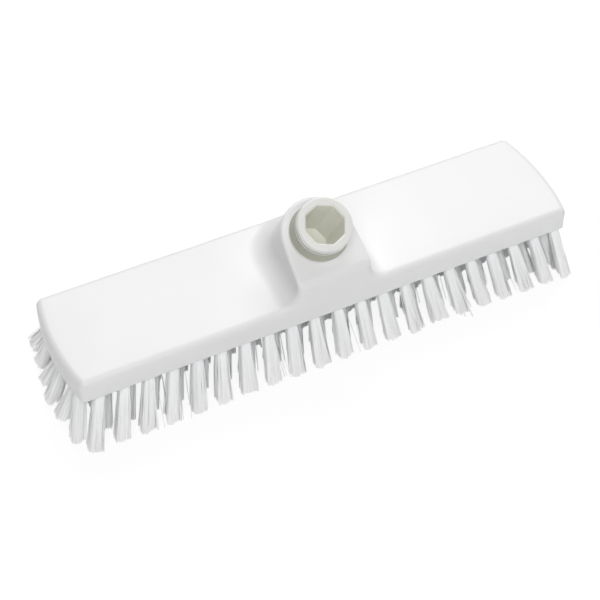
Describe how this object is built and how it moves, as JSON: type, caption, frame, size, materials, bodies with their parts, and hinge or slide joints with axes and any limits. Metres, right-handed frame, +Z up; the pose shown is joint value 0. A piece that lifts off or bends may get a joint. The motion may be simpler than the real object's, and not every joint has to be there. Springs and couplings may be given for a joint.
{
  "type": "floor scrub brush",
  "caption": "Rectangular floor scrub brush head with a slanted socket for a push-in handle and flared rows of stiff white bristle tufts.",
  "frame": {"origin": "centre of the overall box, on the plane of the bristle tips", "axes": "+X along the block's length, -Y to the front, where the handle socket leans, +Z up from the floor"},
  "size_m": [0.3228, 0.0918, 0.0954],
  "materials": {
    "block_plastic": "satin moulded white polypropylene",
    "socket_plastic": "unfilled ivory nylon",
    "bristle_fibre": "translucent white polyester filament"
  },
  "bodies": {
    "root": {"brush_block": "block_plastic", "handle_socket": "socket_plastic", "front_bristle_bank": "bristle_fibre", "middle_bristle_bank": "bristle_fibre", "rear_bristle_bank": "bristle_fibre"}
  },
  "joints": []
}
